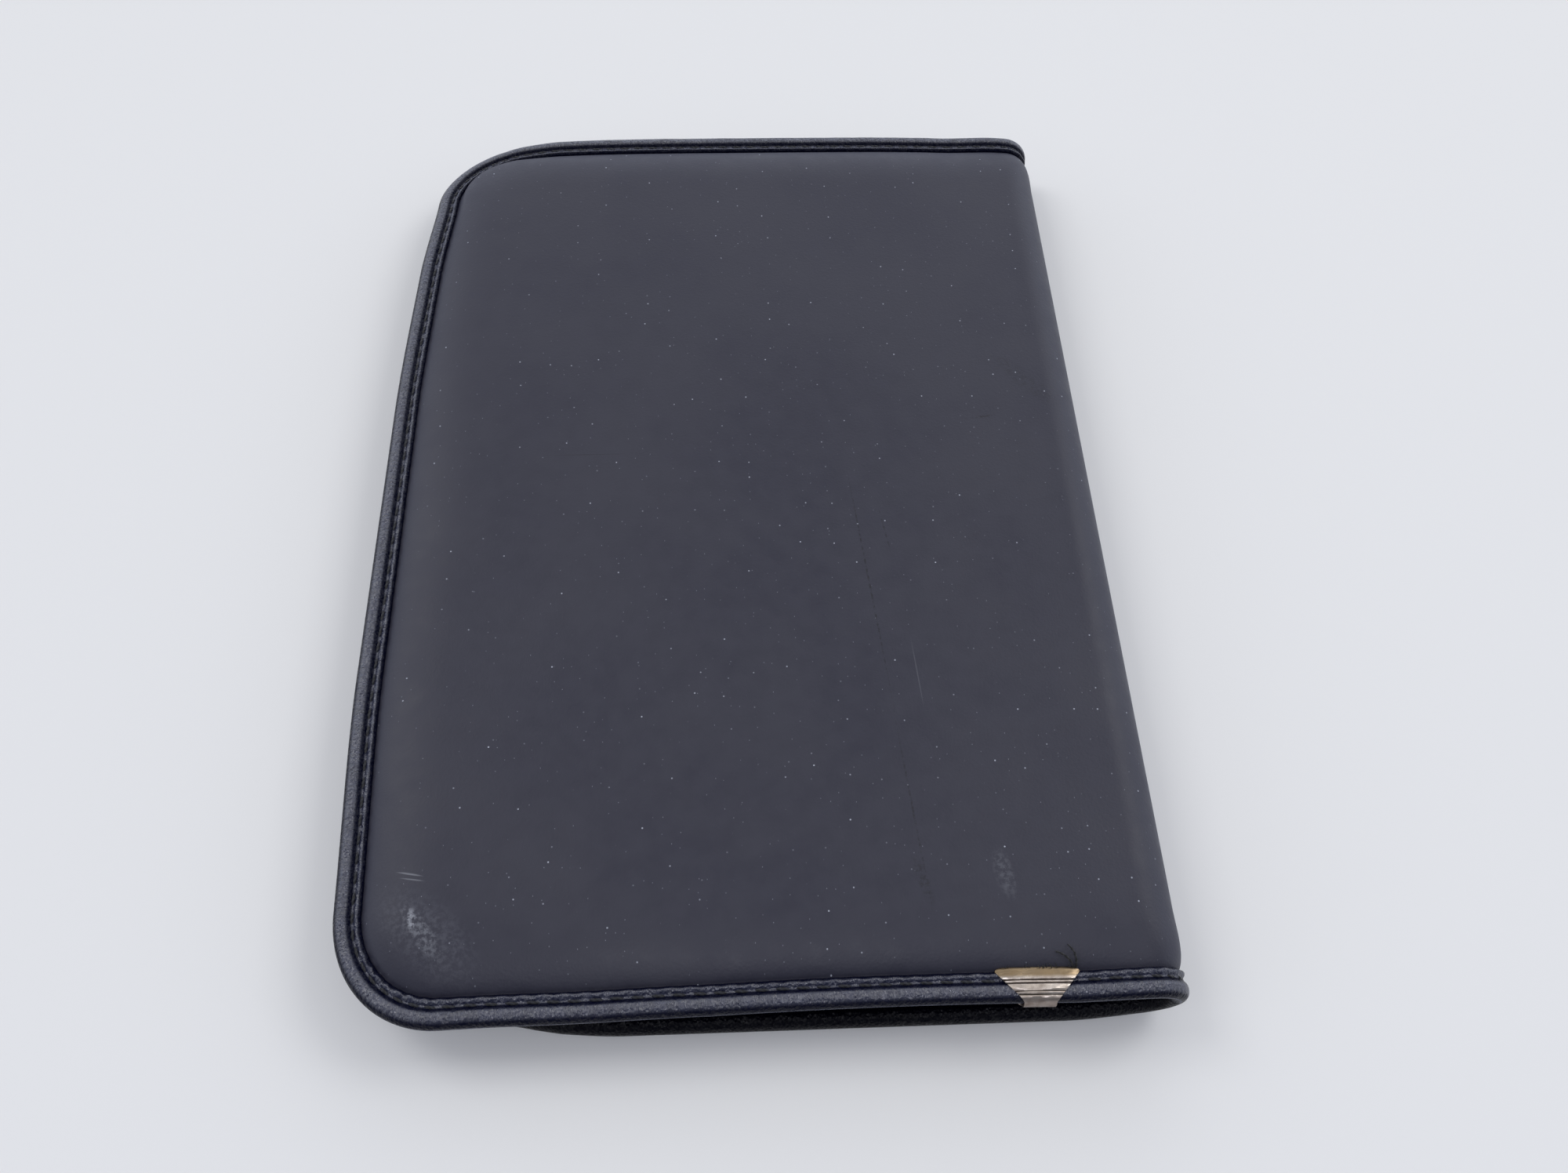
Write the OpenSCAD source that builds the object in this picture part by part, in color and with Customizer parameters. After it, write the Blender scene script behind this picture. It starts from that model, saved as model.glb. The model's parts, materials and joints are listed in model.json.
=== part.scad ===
// Padded leather notebook cover, closed and empty, lying on its back cover.
// +X points to the spine, +Y to the top edge and +Z up; the origin is under the middle of the cover.
// Both covers are the same stack: outer leather, foam, board and lining, bound along three edges.
// The front is the back's mirror image, sagging a little towards its free edge.

/* [Cover] */
// Width of the closed cover, from free edge to spine
cover_w = 165; // [155:1:175]
// Height of the cover, from bottom edge to top edge
cover_h = 236; // [225:1:245]
// Thickness of the closed, empty cover over its pads
closed_t = 18; // [17.8:0.1:19]
// Outer corner radius at the free edge
corner_r = 22; // [18:1:26]
// Angle by which the empty front cover sags towards its free edge
front_sag = 0.8; // [0.4:0.1:0.8]

/* [Layers] */
// Thickness of the outer leather
leather_t = 0.9; // [0.8:0.1:1]
// Thickness of the foam under the outer leather
foam_t = 2.4; // [2.2:0.1:2.4]
// Thickness of the stiffening board
board_t = 1.2; // [1:0.1:1.2]
// Thickness of the lining
lining_t = 0.5; // [0.4:0.1:0.5]
// Thickness of the foam in the spine
spine_foam_t = 1.5; // [1.2:0.1:1.5]
// Width of the slope where the pad rolls off to its crease
rolloff_w = 9; // [8:1:12]

/* [Binding] */
// Width of the rolled binding
binding_w = 5.7; // [5.5:0.1:6.2]
// Thickness of the binding at its roll
roll_t = 4.2; // [4:0.1:4.3]
// Thickness of the binding leather where it lies flat
binding_skin_t = 0.75; // [0.7:0.05:0.8]
// Distance from one stitch to the next
stitch_pitch = 3.9; // [3.6:0.1:4.4]
// Length of one stitch
stitch_l = 2.7; // [2.2:0.1:2.9]

/* [Pockets] */
// Thickness of a pocket panel
pocket_t = 0.5; // [0.4:0.05:0.5]
// Thickness of the turned edge that lifts a pocket panel off the lining
welt_t = 0.25; // [0.2:0.05:0.25]
// Bore radius of the relaxed elastic pen loop
pen_r = 2.4; // [2.2:0.1:2.4]
// Length of the pen loop along the spine
pen_loop_l = 22; // [16:1:30]

/* [Clip] */
// Distance of the metal clip's middle from the middle of the cover
clip_x = 52.3; // [40:0.1:56]
// Width of the clip at its wide inner edge
clip_wide = 16.2; // [14:0.1:18]
// Width of the clip at the outer edge
clip_narrow = 6.2; // [5:0.1:8]
// Thickness of the clip's sheet metal
clip_t = 0.6; // [0.5:0.1:0.7]

/* [Hidden] */

smooth = 64;                       // facets of a round that stays exact
soft = 32;                         // facets of a round inside a hull
gap = 0.2;                         // half the clearance between pieces of different bodies
eps = 0.01;                        // overlap that fuses two pieces of one node
far = 300;                         // longer than the whole cover

left = -cover_w / 2;
bottom = -cover_h / 2;
mid_z = closed_t / 2;              // plane between the two covers
flange_z = foam_t + board_t;       // outer face of the leather where the binding grips it
inner_z = flange_z + leather_t;    // outer face of the lining
face_z = inner_z + lining_t;       // inner face of the cover
slot_h = leather_t + lining_t;     // thickness that the binding grips
bind_z = flange_z + slot_h / 2;    // middle plane of the binding
roll_r = roll_t / 2;
skin_h = slot_h / 2 + binding_skin_t;
slot_inset = 1.5;                  // how far from the edge the gripped layers stop
bend_r = mid_z - bind_z;           // bend of the binding round each end of the spine
end_x = cover_w / 2 - bend_r - roll_r - gap;
spine_x = cover_w / 2 - mid_z;     // axis of the spine's round back
hinge_x = spine_x + mid_z * sin(45);
hinge_z = mid_z - mid_z * cos(45);
ray = gap * sqrt(2);
notch = gap * (sqrt(2) - 1);
pad_inset = binding_w + rolloff_w;
pad_corner_r = 9;
board_inset = 10.3;
board_end = spine_x - 7.5;
tube_r = mid_z - leather_t - spine_foam_t;
stitch_inset = 3.9;
stitch_w = 0.5;
stitch_h = 0.35;
stitch_lift = skin_h + stitch_h / 2 - 0.1;  // the thread is pulled 0.1 into the leather
pocket_z = face_z + welt_t;
welt_w = 3;
pocket_inset = 7.5;                // distance of the outer pockets from the edge of the cover
ring_end = binding_w + 0.4;        // how far in the layers stay straight at each end of the spine
thread_r = 0.2;

leather_colour = "#3c3d47";
binding_colour = "#23242e";
lining_colour = "#4a4c48";
foam_colour = "#b9b7ae";
board_colour = "#8f7f68";
thread_colour = "#15161c";
metal_colour = "#8a7d6c";

// ---- shapes shared by both covers ----

// Posts whose hull is a slab with a round back at the spine and two round corners at the free edge
module slab_posts(inset, bend_x, half_t, r) {
    half_h = cover_h / 2 - inset;
    translate([bend_x, 0, mid_z])
        rotate([90, 0, 0])
            cylinder(r = half_t, h = 2 * half_h, center = true, $fn = smooth);
    for (side = [-1, 1])
        translate([left + inset + r, side * (half_h - r), mid_z - half_t])
            cylinder(r = r, h = 2 * half_t, $fn = soft);
}

// The whole closed cover as one padded form, shrunk inwards by a depth at the pad and at the crease
module padded_form(pad_depth, edge_depth) {
    hull() {
        slab_posts(pad_inset + 0.2 * pad_depth, spine_x, mid_z - pad_depth, pad_corner_r);
        slab_posts(binding_w + 0.2 * edge_depth, end_x, mid_z - flange_z - edge_depth,
            corner_r - binding_w);
    }
}

// Outline of one cover in plan, inset from the edge and stopping at x_end
module outline(inset, x_end) {
    r = max(corner_r - inset, 3);
    x0 = left + inset;
    half_h = cover_h / 2 - inset;
    translate([x0 + r, -half_h])
        square([x_end - x0 - r, 2 * half_h]);
    translate([x0, r - half_h])
        square([r + eps, 2 * (half_h - r)]);
    for (side = [-1, 1])
        translate([x0 + r, side * (half_h - r)])
            circle(r, $fn = smooth);
}

// A flat plate of a cover's outline
module plate(inset, x_end, z, t) {
    translate([0, 0, z])
        linear_extrude(t)
            outline(inset, x_end);
}

// Carries a profile drawn in X and Z along the whole height of the cover
module along_spine(length) {
    translate([0, length / 2, 0])
        rotate([90, 0, 0])
            linear_extrude(length)
                children();
}

// The space that belongs to the back cover, up to a height, cut off at the hinge
module back_zone(top) {
    along_spine(far)
        polygon([
            [-far, -far], [hinge_x - gap, -far], [hinge_x - gap, hinge_z - notch],
            [spine_x + mid_z - top - ray, top], [-far, top]
        ]);
}

// The wedge that belongs to the spine, between the two hinges
module spine_zone() {
    along_spine(far)
        polygon([
            [spine_x + ray, mid_z], [hinge_x + notch, hinge_z + gap], [far, hinge_z + gap],
            [far, closed_t - hinge_z - gap], [hinge_x + notch, closed_t - hinge_z - gap]
        ]);
}

// Turns a back cover piece into the front cover piece that faces it
module as_front() {
    translate([hinge_x, 0, closed_t - hinge_z])
        rotate([0, -front_sag, 0])
            translate([-hinge_x, 0, hinge_z])
                mirror([0, 0, 1])
                    children();
}

// Sweeps a profile about the bend at the lower end of the spine: X is radius, Y is distance up
module end_bend() {
    translate([end_x, bottom, mid_z])
        rotate([-90, 0, 0])
            rotate([0, 0, -90])
                rotate_extrude(angle = 180, $fn = smooth)
                    children();
}

// The same piece at both ends of the cover
module both_ends() {
    children();
    mirror([0, 1, 0])
        children();
}

// Half rings of one layer where the binding grips it, at both ends of the spine
module spine_rings(r, t) {
    both_ends()
        end_bend()
            translate([r, slot_inset])
                square([t, ring_end + eps - slot_inset]);
}

// The part of the spine between its two bound ends
module between_rings() {
    intersection() {
        children();
        cube([far, cover_h - 2 * ring_end, far], center = true);
    }
}

// Section of the rolled binding: X from the edge inwards, Y through the thickness
module binding_section() {
    difference() {
        union() {
            translate([roll_r, 0])
                circle(roll_r, $fn = smooth);
            translate([roll_r, -skin_h])
                square([binding_w - roll_r, 2 * skin_h]);
        }
        translate([slot_inset, -slot_h / 2])
            square([binding_w, slot_h]);
    }
}

// Binding along one end of a cover, straight to the spine
module binding_end() {
    translate([left + corner_r, bottom, bind_z])
        rotate([90, 0, 90])
            linear_extrude(end_x - left - corner_r)
                binding_section();
}

// Binding round the lower outer corner
module binding_corner() {
    translate([left + corner_r, bottom + corner_r, bind_z])
        rotate([0, 0, 180])
            rotate_extrude(angle = 90, $fn = smooth)
                translate([corner_r, 0])
                    mirror([1, 0])
                        binding_section();
}

// Binding round the lower end of the spine
module binding_bend() {
    end_bend()
        translate([bend_r, 0])
            mirror([1, -1])
                binding_section();
}

// ---- pieces of a cover, drawn for the back ----

module cover_leather() {
    intersection() {
        difference() {
            padded_form(0, 0);
            padded_form(leather_t, leather_t);
        }
        back_zone(inner_z);
    }
    difference() {
        plate(slot_inset, end_x, flange_z, leather_t);
        plate(binding_w + 0.6, far, flange_z - 1, leather_t + 2);
    }
    intersection() {
        spine_rings(mid_z - inner_z, leather_t);
        back_zone(inner_z);
    }
}

module cover_foam() {
    intersection() {
        padded_form(leather_t, leather_t);
        plate(board_inset - 0.2, board_end, leather_t, foam_t);
    }
}

module cover_board() {
    plate(board_inset, board_end, inner_z - board_t, board_t);
}

// Lining: flat over the board, then along the round of the spine, and straight on at the bound ends
module cover_lining() {
    pad_h = cover_h - 2 * pad_inset;
    steps = 4;
    plate(slot_inset, board_end, inner_z, lining_t);
    intersection() {
        difference() {
            plate(slot_inset, far, inner_z, lining_t);
            translate([-far, -pad_h / 2, 0])
                cube([2 * far, pad_h, closed_t]);
        }
        back_zone(face_z);
    }
    intersection() {
        along_spine(pad_h)
            polygon(concat(
                [[board_end - eps, face_z], [board_end - eps, inner_z]],
                [for (i = [0:steps]) hinge_point(mid_z - leather_t, -90 + 12 * i)],
                [for (i = [steps:-1:0]) hinge_point(mid_z - leather_t - lining_t, -90 + 12 * i)]
            ));
        back_zone(mid_z);
    }
}

function hinge_point(r, a) = [spine_x + r * cos(a), mid_z + r * sin(a)];

module cover_binding() {
    translate([left, cover_h / 2 - corner_r, bind_z])
        rotate([90, 0, 0])
            linear_extrude(cover_h - 2 * corner_r)
                binding_section();
    both_ends() {
        binding_end();
        binding_corner();
    }
    intersection() {
        both_ends()
            binding_bend();
        back_zone(mid_z);
    }
}

// One stitch lying along X on each face of the binding
module stitch_pair() {
    for (side = [-1, 1])
        translate([0, 0, side * stitch_lift])
            cube([stitch_l, stitch_w, stitch_h], center = true);
}

// Stitches along one end, leaving out those between x_from and x_to
module stitch_row(x_from, x_to) {
    run = end_x - left - corner_r;
    count = floor(run / stitch_pitch);
    for (i = [0:count - 1]) {
        x = left + corner_r + (i + 0.5) * stitch_pitch;
        if (x < x_from || x > x_to)
            translate([x, bottom + stitch_inset, bind_z])
                stitch_pair();
    }
}

// Stitches along the free edge and round both outer corners
module stitch_free_edge() {
    run = cover_h - 2 * corner_r;
    count = floor(run / stitch_pitch);
    turn_r = corner_r - stitch_inset;
    turn_count = round(turn_r * PI / 2 / stitch_pitch);
    for (i = [0:count - 1])
        translate([left + stitch_inset, (i - (count - 1) / 2) * stitch_pitch, bind_z])
            rotate([0, 0, 90])
                stitch_pair();
    both_ends()
        translate([left + corner_r, bottom + corner_r, bind_z])
            for (i = [0:turn_count - 1])
                rotate([0, 0, 180 + (i + 0.5) * 90 / turn_count])
                    translate([turn_r, 0, 0])
                        rotate([0, 0, 90])
                            stitch_pair();
}

// A rectangle in plan, cut to the cover's outline at an inset
module pocket_outline(x0, y0, w, h, inset) {
    intersection() {
        translate([x0, y0])
            square([w, h]);
        outline(inset, far);
    }
}

// A flat pocket panel lifted off the lining by its turned edge
module pocket_panel(x0, y0, w, h) {
    translate([0, 0, pocket_z])
        linear_extrude(pocket_t)
            pocket_outline(x0, y0, w, h, pocket_inset);
}

// The turned edge under a pocket panel on three sides; open_side is "x" (towards the spine) or "y"
module pocket_welt(x0, y0, w, h, open_side) {
    inner_w = open_side == "x" ? w : w - 2 * welt_w;
    inner_h = open_side == "x" ? h - 2 * welt_w : h;
    translate([0, 0, face_z])
        linear_extrude(welt_t)
            difference() {
                pocket_outline(x0, y0, w, h, pocket_inset);
                pocket_outline(x0 + welt_w, y0 + welt_w, inner_w, inner_h, pocket_inset + welt_w);
            }
}

// A straight round thread between two points
module thread(from, to) {
    run = to - from;
    length = norm(run);
    translate(from)
        rotate([0, acos(run[2] / length), atan2(run[1], run[0])])
            cylinder(r = thread_r, h = length, $fn = 16);
}

// ---- back cover ----

module back_leather() {
    color(leather_colour)
        cover_leather();
}

module back_foam() {
    color(foam_colour)
        cover_foam();
}

module back_board() {
    color(board_colour)
        cover_board();
}

module back_lining() {
    color(lining_colour)
        cover_lining();
}

module back_binding() {
    color(binding_colour)
        cover_binding();
}

module back_stitching() {
    color(thread_colour) {
        both_ends()
            stitch_row(far, far);
        stitch_free_edge();
    }
}

// Upright sleeve that takes the back card of a notebook, open towards the spine
sleeve_mouth = left + 63.5;
sleeve_h = 216;

module pad_sleeve() {
    color(binding_colour)
        pocket_panel(left, -sleeve_h / 2, sleeve_mouth - left, sleeve_h);
}

module pad_sleeve_welt() {
    color(binding_colour)
        pocket_welt(left, -sleeve_h / 2, sleeve_mouth - left, sleeve_h, "x");
}

// ---- spine ----

module spine_leather() {
    color(leather_colour)
        intersection() {
            union() {
                between_rings()
                    difference() {
                        padded_form(0, 0);
                        padded_form(leather_t, leather_t);
                    }
                spine_rings(mid_z - inner_z, leather_t);
            }
            spine_zone();
        }
}

module spine_foam() {
    color(foam_colour)
        intersection() {
            difference() {
                padded_form(leather_t, leather_t);
                padded_form(leather_t + spine_foam_t, leather_t);
            }
            spine_zone();
            cube([far, cover_h - 2 * binding_w - 4, far], center = true);
        }
}

module spine_lining() {
    color(lining_colour)
        intersection() {
            union() {
                between_rings()
                    difference() {
                        padded_form(leather_t + spine_foam_t, leather_t);
                        padded_form(leather_t + spine_foam_t + lining_t, leather_t + lining_t);
                    }
                spine_rings(mid_z - face_z, lining_t);
            }
            spine_zone();
        }
}

module spine_binding_bottom() {
    color(binding_colour)
        intersection() {
            binding_bend();
            spine_zone();
        }
}

module spine_binding_top() {
    mirror([0, 1, 0])
        spine_binding_bottom();
}

module spine_stitching() {
    color(thread_colour)
        both_ends()
            translate([end_x, bottom + stitch_inset, mid_z])
                for (a = [-26, 26])
                    rotate([0, a, 0])
                        translate([bend_r + stitch_lift, 0, 0])
                            cube([stitch_h, stitch_w, stitch_l], center = true);
}

// Elastic loop sewn to the middle of the spine's lining
module pen_loop() {
    wall = 0.8;
    tab_h = 2;
    tab_end = spine_x + tube_r - lining_t - 0.1;
    color(thread_colour)
        translate([end_x, 0, mid_z])
            rotate([90, 0, 0])
                difference() {
                    union() {
                        cylinder(r = pen_r + wall, h = pen_loop_l, center = true, $fn = smooth);
                        translate([pen_r, -tab_h / 2, -pen_loop_l / 2])
                            cube([tab_end - end_x - pen_r, tab_h, pen_loop_l]);
                    }
                    cylinder(r = pen_r, h = pen_loop_l + 2, center = true, $fn = smooth);
                }
}

// ---- front cover ----

module front_leather() {
    color(leather_colour)
        as_front()
            cover_leather();
}

module front_foam() {
    color(foam_colour)
        as_front()
            cover_foam();
}

module front_board() {
    color(board_colour)
        as_front()
            cover_board();
}

module front_lining() {
    color(lining_colour)
        as_front()
            cover_lining();
}

module front_binding() {
    color(binding_colour)
        as_front()
            cover_binding();
}

module front_stitching() {
    color(thread_colour)
        as_front() {
            stitch_row(clip_x - clip_wide / 2 - 2, clip_x + clip_wide / 2 + 2);
            mirror([0, 1, 0])
                stitch_row(far, far);
            stitch_free_edge();
        }
}

// Large pocket across the lower half of the front cover's inside, open towards the top
document_w = 141.5;
document_h = 112;

module document_pocket() {
    color(binding_colour)
        as_front()
            pocket_panel(left, -sleeve_h / 2, document_w, document_h);
}

module document_pocket_welt() {
    color(binding_colour)
        as_front()
            pocket_welt(left, -sleeve_h / 2, document_w, document_h, "y");
}

// Two upright card pockets side by side above it
card_w = 62;
card_h = 68;
card_y = 14;
card_gap = 6;
card_x = left + pocket_inset + 2;
card_step = card_w + card_gap;

module card_pocket_outer() {
    color(binding_colour)
        as_front()
            pocket_panel(card_x, card_y, card_w, card_h);
}

module card_pocket_inner() {
    color(binding_colour)
        as_front()
            pocket_panel(card_x + card_step, card_y, card_w, card_h);
}

module card_pocket_welts() {
    color(binding_colour)
        as_front()
            for (i = [0, 1])
                pocket_welt(card_x + i * card_step, card_y, card_w, card_h, "y");
}

// Section of the space inside the folded clip, grown by a distance: X from the edge inwards
module clip_section(grow, reach) {
    translate([roll_r, 0])
        circle(roll_r + grow, $fn = smooth);
    polygon([
        [roll_r, -roll_r - grow], [reach, -skin_h - grow], [reach, skin_h + grow], [roll_r, roll_r + grow]
    ]);
}

// Folded sheet-metal clip that covers the joint in the binding, narrow at the edge and wide inside
module binding_clip() {
    slack = 0.1;
    reach = 6.3;
    outer = slack + clip_t;
    groove_r = 0.22;
    groove_at = [1.7, 2.15, 3.8, 4.25];
    tooth = [1, 0.6, 0.9];
    color(metal_colour)
        as_front()
            translate([clip_x, bottom, bind_z]) {
                intersection() {
                    difference() {
                        translate([-clip_wide / 2, 0, 0])
                            rotate([90, 0, 90])
                                linear_extrude(clip_wide)
                                    difference() {
                                        clip_section(outer, reach);
                                        clip_section(slack, reach + 1);
                                    }
                        for (u = groove_at)
                            translate([0, u, -roll_r - outer + max(0, u - roll_r) * 0.155 - 0.1])
                                rotate([0, 90, 0])
                                    cylinder(r = groove_r, h = far, center = true, $fn = 16);
                    }
                    linear_extrude(closed_t, center = true)
                        polygon([
                            [-clip_narrow / 2, -outer - 1], [clip_narrow / 2, -outer - 1],
                            [clip_narrow / 2, 0.4], [clip_wide / 2, reach - 0.8],
                            [clip_wide / 2 - 0.5, reach + 0.1], [0.5 - clip_wide / 2, reach + 0.1],
                            [-clip_wide / 2, reach - 0.8], [-clip_narrow / 2, 0.4]
                        ]);
                }
                for (side = [-1, 1], end = [-1, 1])
                    translate([end * 4.5, reach - 0.7, side * (skin_h + 0.15)])
                        cube(tooth, center = true);
            }
}

// Two loose ends of the sewing thread beside the clip
module thread_tails() {
    root = [clip_x + clip_wide / 2 - 0.8, bottom + 6.9, flange_z - 0.75];
    color(thread_colour)
        as_front() {
            thread(root, [clip_x + 3.6, bottom + 9.6, 1.7]);
            thread(root + [0.6, 0.1, 0], [clip_x + 6.6, bottom + 10.6, 1.3]);
        }
}

back_leather();
back_foam();
back_board();
back_lining();
back_binding();
back_stitching();
pad_sleeve();
pad_sleeve_welt();
spine_leather();
spine_foam();
spine_lining();
spine_binding_bottom();
spine_binding_top();
spine_stitching();
pen_loop();
front_leather();
front_foam();
front_board();
front_lining();
front_binding();
front_stitching();
document_pocket();
document_pocket_welt();
card_pocket_outer();
card_pocket_inner();
card_pocket_welts();
binding_clip();
thread_tails();
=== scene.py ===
"""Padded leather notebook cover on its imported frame. Shapes are worked out in millimetres, then stored in metres.

Every piece of a cover is a flat pattern: xi runs from the free edge to the middle of the spine, y along
the cover, and depth is how far inside the pad's outer face a point lies. One function folds the pattern
round the spine, and another turns a back cover point into the front cover point that faces it.
"""

import json
import math

import bpy
import numpy as np
from mathutils import Matrix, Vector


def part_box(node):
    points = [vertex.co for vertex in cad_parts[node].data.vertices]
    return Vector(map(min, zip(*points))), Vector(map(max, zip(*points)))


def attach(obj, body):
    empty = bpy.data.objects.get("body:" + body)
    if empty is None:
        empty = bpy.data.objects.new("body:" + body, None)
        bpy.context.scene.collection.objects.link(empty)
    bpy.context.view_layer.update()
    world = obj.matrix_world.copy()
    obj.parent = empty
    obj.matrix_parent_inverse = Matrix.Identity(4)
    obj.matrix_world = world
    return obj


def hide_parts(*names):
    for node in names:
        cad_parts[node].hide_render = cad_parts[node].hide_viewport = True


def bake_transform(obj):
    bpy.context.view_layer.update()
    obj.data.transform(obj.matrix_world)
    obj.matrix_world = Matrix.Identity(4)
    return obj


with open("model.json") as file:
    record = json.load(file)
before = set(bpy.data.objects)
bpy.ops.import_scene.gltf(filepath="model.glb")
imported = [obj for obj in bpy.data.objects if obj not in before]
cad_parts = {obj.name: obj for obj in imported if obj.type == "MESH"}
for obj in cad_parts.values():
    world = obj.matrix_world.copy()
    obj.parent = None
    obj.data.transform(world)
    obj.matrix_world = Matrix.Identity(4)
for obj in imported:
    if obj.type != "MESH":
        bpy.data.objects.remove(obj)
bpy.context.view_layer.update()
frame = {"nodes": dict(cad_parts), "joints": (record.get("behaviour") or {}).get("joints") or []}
MM = 0.001

# ---- sizes taken from the frame ----

joints = {joint["name"]: joint for joint in frame["joints"]}
hinge_x, _, hinge_z = (1000 * c for c in joints["spine_fold"]["pos_m"])
mid_z = 500 * (joints["spine_fold"]["pos_m"][2] + joints["front_fold"]["pos_m"][2])
sag = math.radians(joints["front_fold"]["range_deg"][1] - 90)
spine_x = hinge_x - mid_z * math.sin(math.radians(45))

roll_r = 2.1                       # radius of the binding's roll
binding_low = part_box("back_binding")[0]
left, bottom, bind_z = 1000 * binding_low.x, 1000 * binding_low.y, 1000 * binding_low.z + roll_r
top = -bottom
face_z = 1000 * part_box("pad_sleeve_welt")[0].z
end_x = 1000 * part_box("spine_binding_bottom")[1].x - (mid_z - bind_z) - roll_r
end_shift = end_x - spine_x - 0.8  # the bound ends, a little crushed, fold round an axis this much further out
xi_end = spine_x + mid_z * math.pi / 2

# ---- sizes of the leather work ----

corner_r = 22.0                    # outer corner at the free edge
lip = 5.7                          # width of the binding
groove = 3.9                       # the stitches' distance from the edge
pitch = 3.9                        # from one stitch to the next
skin = 0.9                         # outer leather
cloth = 0.5                        # lining
grip_z = bind_z - 0.7              # outer face of the leather where the binding grips it
roll_off = 15.0                    # width of the pad's slope
bend_from, bend_over = 6.5, 7.1    # where the fold starts, past the spine's axis, and how long it is
stretch_from = 40.0                # where the bound ends start to stretch towards their further axis
corner_square = 34.0               # side of the square in which a free corner is drawn in
pad_slope, spine_from = 18.0, 64.0 # the pattern grid's fine columns: inside the free edge, and from here on
grip = 4.5                         # the leather starts this far inside the edge, under the binding
lining_edge = 4.9                  # and the lining this far
foam_end = 16.0                    # the spine foam stops this far short of the bound ends
pocket_edge = 7.5                  # the pockets start this far inside the free edge
clip_thick = 0.5                   # thickness of the clip's sheet
clip_gap = 0.7                     # the clip's fold stands this far outside the roll
elastic_thick = 0.8                # thickness of the pen loop


def smooth(t):
    """Smoothstep: 0 below 0, 1 above 1, and 3t^2 - 2t^3 between."""
    t = np.clip(t, 0, 1)
    return t * t * (3 - 2 * t)


def ripple(a, b, seed, lengths):
    """Sum of plane sine waves of the given lengths, each with a seeded direction and phase, from -1 to 1."""
    rng = np.random.default_rng(seed)
    total = 0
    for length in lengths:
        turn, phase = rng.uniform(0, 2 * math.pi, 2)
        total = total + np.sin(2 * math.pi * (a * math.cos(turn) + b * math.sin(turn)) / length + phase)
    return total / len(lengths)


def fold(xi, depth, shift):
    """Straight up to the spine's axis at height depth, then an arc of radius mid_z - depth about that axis.
    The axis lies shift further out, and the flat part stretches past stretch_from to make up for it."""
    turn = np.clip((xi - spine_x) / mid_z, 0, None)
    reach = mid_z - depth
    flat = xi + shift * smooth((xi - stretch_from) / (spine_x - stretch_from))
    x = np.where(xi < spine_x, flat, spine_x + shift + reach * np.sin(turn))
    z = np.where(xi < spine_x, depth, mid_z - reach * np.cos(turn))
    return x, z


def in_corner(x, y, end):
    """0 on the inner sides of a square at a free corner, growing as the product of both distances, to the
    power 1.5, to 1 at its outer point. end is 1 at the upper corner and -1 at the lower."""
    across = np.clip((left + corner_square - x) / corner_square, 0, 1)
    along = np.clip((end * y - top + corner_square) / corner_square, 0, 1)
    return (across * along) ** 1.5


def place(side, xi, y, depth, shift):
    """Folds a pattern point. The front is its mirror image about the middle plane, turned by the sag about the
    front hinge, less and less of it towards the spine. Worn shape: each lower edge bows a little, and so do
    the front's upper edge, outwards, and its free edge, inwards at the top and outwards below; the free
    corners are drawn in, or let out, and the front's upper one droops. Each bow is a bump or a smoothstep
    along its edge times one that dies out over 40 mm inwards."""
    x, z = fold(xi, depth, shift)
    near_bottom = 1 - smooth((y - bottom) / 40)
    upper, lower = in_corner(x, y, 1), in_corner(x, y, -1)
    if side == "back":
        bow = 2.6 * (1 - smooth((x + 61) / 24))
        bow = bow - 1.5 * smooth((x + 50) / 24) * (1 - smooth((x - 58) / 24))
        pull_upper, pull_lower = 3.4 * upper, 4.0 * lower
        x, y = x + pull_upper + pull_lower, y + bow * near_bottom - pull_upper + pull_lower
        return np.stack(np.broadcast_arrays(x, y, z), -1)
    bow = 0.5 * np.clip(1 - ((x - 25) / 35) ** 2, 0, 1) - 0.5 * (1 - smooth((x + 40) / 30))
    bow_top = 2.4 * np.clip(1 - ((x - 5) / 70) ** 4, 0, 1) * (1 - smooth((top - y) / 40))
    bow_free = 1.6 * smooth((y - 70) / 28)
    bow_free = bow_free - 2.05 * smooth((y + 106) / 60) * (1 - smooth((y - 25) / 68))
    bow_free = bow_free * (1 - smooth((x - left) / 40))
    share = smooth((x - spine_x + z - bend_from) / bend_over)
    turn = sag * (1 - share)
    across, up = x - hinge_x, hinge_z - z
    x = hinge_x + across * np.cos(turn) - up * np.sin(turn)
    z = 2 * mid_z - hinge_z + across * np.sin(turn) + up * np.cos(turn)
    x = x + bow_free + 0.5 * lower
    y = y + bow * near_bottom + bow_top - 1.3 * upper - 1.1 * lower
    z = z - 4.0 * upper
    return np.stack(np.broadcast_arrays(x, y, z), -1)


def end_lift(xi):
    """How much closer to the outer face the bound layers run as they come to the spine."""
    return 1.2 * smooth((xi - 56) / 18)


def from_crease(xi, y):
    """Distance inside the binding's lip: that of a rectangle whose two free corners are rounded."""
    r = corner_r - lip
    across = np.maximum(r - (xi - left - lip), 0)
    along = np.maximum(r - (top - lip - np.abs(y)), 0)
    return r - np.hypot(across, along)


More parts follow.
